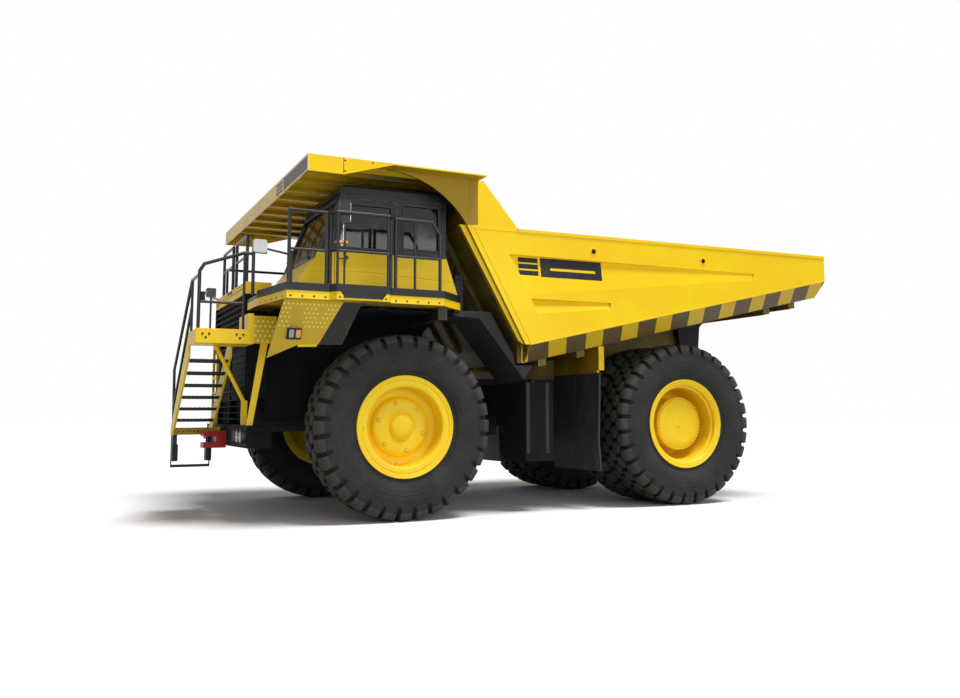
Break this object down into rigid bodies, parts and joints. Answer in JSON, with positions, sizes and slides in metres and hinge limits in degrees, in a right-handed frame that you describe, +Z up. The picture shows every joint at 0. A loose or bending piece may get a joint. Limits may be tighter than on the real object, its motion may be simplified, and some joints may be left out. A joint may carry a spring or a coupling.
{
  "type": "rigid-frame mining dump truck",
  "caption": "Rigid-frame mining dump truck with a tipping load body, canopy over the cab, dual rear wheels and a front stair.",
  "frame": {"origin": "on the ground under the middle of the overall length and width", "axes": "+X forward, +Y to the truck's left, +Z up"},
  "size_m": [10.782, 6.056, 4.985],
  "materials": {
    "yellow_paint": "gloss machine yellow",
    "ochre_paint": "satin machine yellow",
    "dark_paint": "satin black",
    "frame_paint": "matt dark grey",
    "red_paint": "satin red",
    "tyre_rubber": "dusty black",
    "flap_rubber": "matt",
    "window": "tinted",
    "chrome_rod": "polished",
    "iron": "rough",
    "trim": "matt",
    "lamp_lens": "clear lens over a bright reflector",
    "seat_cloth": "woven"
  },
  "bodies": {
    "chassis": {"frame_rails": "frame_paint", "cross_beams": "frame_paint", "rear_hitch": "frame_paint", "rear_axle": "frame_paint", "rear_struts": "frame_paint", "front_arms": "frame_paint", "front_struts": "frame_paint", "hinge_brackets": "frame_paint", "front_bumper": "frame_paint", "tow_block": "red_paint", "engine": "iron", "transmission": "frame_paint", "oil_tank": "frame_paint", "fuel_tank": "frame_paint", "deck_left": "yellow_paint", "deck_right": "yellow_paint", "deck_props": "ochre_paint", "fenders": "dark_paint", "lamps": "lamp_lens", "mirrors": "dark_paint", "front_ladder": "yellow_paint", "hood": "yellow_paint", "radiator": "dark_paint", "cab_shell": "yellow_paint", "cab_roof": "yellow_paint", "cab_glass": "window", "driver_seat": "seat_cloth", "dashboard": "trim", "landing": "yellow_paint", "front_stair": "yellow_paint", "hanging_step": "dark_paint", "landing_stays": "yellow_paint", "deck_handrails": "dark_paint", "landing_rails": "dark_paint", "hoist_feet": "frame_paint"},
    "dump_body": {"body_sides": "yellow_paint", "body_floor": "yellow_paint", "headboard": "yellow_paint", "canopy": "yellow_paint", "hinge_lugs": "frame_paint", "flap_hangers": "ochre_paint", "mud_flaps": "flap_rubber"},
    "cab_door": {"cab_door": "yellow_paint", "door_glass": "window"},
    "knuckle_left": {"knuckle_left": "frame_paint"},
    "front_wheel_left": {"front_tyre_left": "tyre_rubber", "front_rim_left": "yellow_paint"},
    "rear_wheels_left": {"rear_tyres_left": "tyre_rubber", "rear_rims_left": "yellow_paint"},
    "hoist_barrel_left": {"hoist_barrel_left": "frame_paint"},
    "hoist_sleeve_left": {"hoist_sleeve_left": "chrome_rod"},
    "hoist_rod_left": {"hoist_rod_left": "chrome_rod"},
    "knuckle_right": {"knuckle_right": "frame_paint"},
    "front_wheel_right": {"front_tyre_right": "tyre_rubber", "front_rim_right": "yellow_paint"},
    "rear_wheels_right": {"rear_tyres_right": "tyre_rubber", "rear_rims_right": "yellow_paint"},
    "hoist_barrel_right": {"hoist_barrel_right": "frame_paint"},
    "hoist_sleeve_right": {"hoist_sleeve_right": "chrome_rod"},
    "hoist_rod_right": {"hoist_rod_right": "chrome_rod"}
  },
  "joints": [
    {"name": "dump_hinge", "type": "hinge", "parent": "chassis", "child": "dump_body", "pos_m": [-3.876, 0, 2.35], "axis": [0, -1, 0], "range_deg": [0, 48]},
    {"name": "door_hinge", "type": "hinge", "parent": "chassis", "child": "cab_door", "pos_m": [2.72, 2.434, 3.9], "axis": [0, 0, 1], "range_deg": [0, 32]},
    {"name": "steer_left", "type": "hinge", "parent": "chassis", "child": "knuckle_left", "pos_m": [2.574, 1.55, 1.33], "axis": [0, 0, 1], "range_deg": [-36, 36]},
    {"name": "front_spin_left", "type": "hinge", "parent": "knuckle_left", "child": "front_wheel_left", "pos_m": [2.574, 2.162, 1.33], "axis": [0, 1, 0], "continuous": true},
    {"name": "rear_spin_left", "type": "hinge", "parent": "chassis", "child": "rear_wheels_left", "pos_m": [-2.376, 1.75, 1.33], "axis": [0, 1, 0], "continuous": true},
    {"name": "hoist_tilt_left", "type": "hinge", "parent": "chassis", "child": "hoist_barrel_left", "pos_m": [-1.576, 0.79, 0.9], "axis": [0, -1, 0], "range_deg": [0, 17.16]},
    {"name": "hoist_stage_left", "type": "slide", "parent": "hoist_barrel_left", "child": "hoist_sleeve_left", "axis": [0.0624, 0, 0.9981], "range_m": [0, 0.91337]},
    {"name": "hoist_rod_slide_left", "type": "slide", "parent": "hoist_sleeve_left", "child": "hoist_rod_left", "axis": [0.0624, 0, 0.9981], "range_m": [0, 0.91337]},
    {"name": "steer_right", "type": "hinge", "parent": "chassis", "child": "knuckle_right", "pos_m": [2.574, -1.55, 1.33], "axis": [0, 0, 1], "range_deg": [-36, 36]},
    {"name": "front_spin_right", "type": "hinge", "parent": "knuckle_right", "child": "front_wheel_right", "pos_m": [2.574, -2.162, 1.33], "axis": [0, 1, 0], "continuous": true},
    {"name": "rear_spin_right", "type": "hinge", "parent": "chassis", "child": "rear_wheels_right", "pos_m": [-2.376, -1.75, 1.33], "axis": [0, 1, 0], "continuous": true},
    {"name": "hoist_tilt_right", "type": "hinge", "parent": "chassis", "child": "hoist_barrel_right", "pos_m": [-1.576, -0.79, 0.9], "axis": [0, -1, 0], "range_deg": [0, 17.16]},
    {"name": "hoist_stage_right", "type": "slide", "parent": "hoist_barrel_right", "child": "hoist_sleeve_right", "axis": [0.0624, 0, 0.9981], "range_m": [0, 0.91337]},
    {"name": "hoist_rod_slide_right", "type": "slide", "parent": "hoist_sleeve_right", "child": "hoist_rod_right", "axis": [0.0624, 0, 0.9981], "range_m": [0, 0.91337]}
  ],
  "couplings": [
    {"joint": "hoist_tilt_left", "follows": "dump_hinge", "ratio": 0.3575},
    {"joint": "hoist_stage_left", "follows": "dump_hinge", "m_per_rad": 1.0902},
    {"joint": "hoist_rod_slide_left", "follows": "dump_hinge", "m_per_rad": 1.0902},
    {"joint": "hoist_tilt_right", "follows": "dump_hinge", "ratio": 0.3575},
    {"joint": "hoist_stage_right", "follows": "dump_hinge", "m_per_rad": 1.0902},
    {"joint": "hoist_rod_slide_right", "follows": "dump_hinge", "m_per_rad": 1.0902},
    {"joint": "steer_right", "follows": "steer_left", "ratio": 1}
  ]
}
